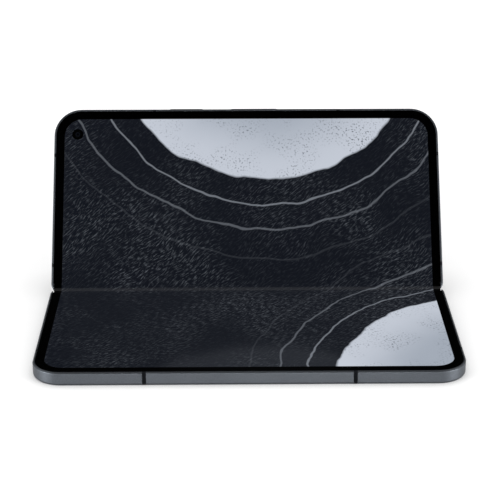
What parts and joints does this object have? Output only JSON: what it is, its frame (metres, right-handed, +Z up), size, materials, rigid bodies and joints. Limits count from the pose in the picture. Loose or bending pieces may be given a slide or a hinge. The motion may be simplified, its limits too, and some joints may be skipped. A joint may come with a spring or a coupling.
{
  "type": "foldable smartphone",
  "caption": "Book-style folding phone standing half open: two thin halves on a hidden geared hinge, one flexible inner screen, camera island, side buttons, SIM tray and charging socket.",
  "frame": {"origin": "centre of the lower half's outer face, on the surface that the phone stands on", "axes": "+X along the hinge, towards the phone's bottom end with the charging socket; +Y across the lower half towards the hinge; +Z up, out of the lower half's inner screen"},
  "size_m": [0.1552, 0.1212, 0.0661],
  "materials": {
    "frame": "bead-blasted, anodised slate grey",
    "aerial_plastic": "moulded, colour-matched",
    "bezel_plastic": "moulded black",
    "inner_screen": "thin flexible glass under a protective film",
    "outer_glass": "toughened, black behind",
    "screen_panel": "display panel",
    "camera_metal": "machined and anodised",
    "lens_glass": "coated window",
    "flash_diffuser": "clear diffuser over yellow phosphor",
    "camera_black": "black housing",
    "battery_pouch": "laminated pouch",
    "circuit_board": "solder mask",
    "shield_steel": "drawn sheet",
    "speaker_plastic": "moulded",
    "magnet": "nickel plated",
    "copper_coil": "copper winding",
    "socket_steel": "drawn sheet",
    "button_metal": "bead-blasted, anodised slate grey",
    "spine_metal": "anodised",
    "hinge_steel": "metal-injection moulded",
    "wing_steel": "stamped plate"
  },
  "bodies": {
    "lower_half": {"lower_frame": "frame", "lower_antenna_strips": "aerial_plastic", "lower_bezel": "bezel_plastic", "lower_display": "inner_screen", "cover_glass": "outer_glass", "cover_panel": "screen_panel", "cover_camera": "camera_black", "lower_board": "circuit_board", "lower_battery": "battery_pouch", "earpiece_speaker": "speaker_plastic", "lower_magnets": "magnet", "sim_slot": "shield_steel", "lower_swing_arms": "hinge_steel", "lower_arm_screws": "hinge_steel", "lower_lever_guides": "hinge_steel"},
    "sim_tray": {"sim_tray": "button_metal"},
    "spine": {"spine_cover": "spine_metal", "swing_brackets": "hinge_steel", "gear_carriers": "hinge_steel", "gear_shafts": "hinge_steel", "display_bend": "inner_screen", "link_cables": "circuit_board"},
    "upper_half": {"upper_swing_arms": "hinge_steel", "upper_arm_screws": "hinge_steel", "upper_lever_guides": "hinge_steel", "upper_frame": "frame", "upper_antenna_strips": "aerial_plastic", "upper_bezel": "bezel_plastic", "upper_display": "inner_screen", "inner_camera": "camera_black", "back_glass": "outer_glass", "camera_island": "camera_metal", "lens_rings": "camera_metal", "lens_windows": "lens_glass", "rear_cameras": "camera_black", "flash_lens": "flash_diffuser", "main_board": "circuit_board", "board_shields": "shield_steel", "upper_battery": "battery_pouch", "charging_coil": "copper_coil", "usb_socket": "socket_steel", "usb_board": "circuit_board", "loudspeaker": "speaker_plastic", "vibration_motor": "shield_steel", "upper_magnets": "magnet", "button_switches": "shield_steel"},
    "lower_idler": {"lower_idler_gears": "hinge_steel"},
    "upper_idler": {"upper_idler_gears": "hinge_steel"},
    "upper_gear_arm": {"upper_gear_arms": "hinge_steel"},
    "lower_gear_arm": {"lower_gear_arms": "hinge_steel"},
    "upper_wing": {"upper_wing_plate": "wing_steel"},
    "lower_wing": {"lower_wing_plate": "wing_steel"},
    "power_button": {"power_button": "button_metal"},
    "volume_rocker": {"volume_rocker": "button_metal"}
  },
  "joints": [
    {"name": "spine_fold", "type": "hinge", "parent": "lower_half", "child": "spine", "pos_m": [0, 0.03633, 0.00403], "axis": [1, 0, 0], "range_deg": [-27.6, 62.4], "deforming": ["display_bend", "link_cables"]},
    {"name": "upper_fold", "type": "hinge", "parent": "spine", "child": "upper_half", "pos_m": [0, 0.03849, 0.00516], "axis": [1, 0, 0], "range_deg": [-27.6, 62.4]},
    {"name": "lower_idler_turn", "type": "hinge", "parent": "spine", "child": "lower_idler", "pos_m": [0, 0.03756, 0.0027], "axis": [1, 0, 0], "range_deg": [-27.6, 62.4]},
    {"name": "upper_idler_turn", "type": "hinge", "parent": "spine", "child": "upper_idler", "pos_m": [0, 0.03889, 0.00339], "axis": [1, 0, 0], "range_deg": [-62.4, 27.6]},
    {"name": "lower_gear_arm_turn", "type": "hinge", "parent": "spine", "child": "lower_gear_arm", "pos_m": [0, 0.03607, 0.0025], "axis": [1, 0, 0], "range_deg": [-62.4, 27.6]},
    {"name": "upper_gear_arm_turn", "type": "hinge", "parent": "spine", "child": "upper_gear_arm", "pos_m": [0, 0.0399, 0.0045], "axis": [1, 0, 0], "range_deg": [-27.6, 62.4]},
    {"name": "lower_wing_tilt", "type": "hinge", "parent": "lower_half", "child": "lower_wing", "pos_m": [0, 0.02655, 0.00428], "axis": [1, 0, 0], "range_deg": [-6.93, 3.07]},
    {"name": "upper_wing_tilt", "type": "hinge", "parent": "upper_half", "child": "upper_wing", "pos_m": [0, 0.04387, 0.01333], "axis": [1, 0, 0], "range_deg": [-3.07, 6.93]},
    {"name": "power_press", "type": "slide", "parent": "upper_half", "child": "power_button", "axis": [0, -0.5707, -0.8211], "range_m": [0, 0.00025], "stiffness_N_per_m": 4000, "springref_m": -0.0001},
    {"name": "volume_rock", "type": "hinge", "parent": "upper_half", "child": "volume_rocker", "pos_m": [0.00315, 0.08076, 0.06338], "axis": [0, -0.8211, 0.5707], "range_deg": [-1.2, 1.2], "stiffness_Nm_per_rad": 0.75},
    {"name": "tray_slide", "type": "slide", "parent": "lower_half", "child": "sim_tray", "axis": [1, 0, 0], "range_m": [0, 0.018]}
  ],
  "couplings": [
    {"joint": "upper_fold", "follows": "spine_fold", "ratio": 1},
    {"joint": "lower_idler_turn", "follows": "spine_fold", "ratio": 1},
    {"joint": "upper_idler_turn", "follows": "spine_fold", "ratio": -1},
    {"joint": "lower_gear_arm_turn", "follows": "spine_fold", "ratio": -1},
    {"joint": "upper_gear_arm_turn", "follows": "spine_fold", "ratio": 1},
    {"joint": "lower_wing_tilt", "follows": "spine_fold", "ratio": -0.11111},
    {"joint": "upper_wing_tilt", "follows": "spine_fold", "ratio": 0.11111}
  ]
}
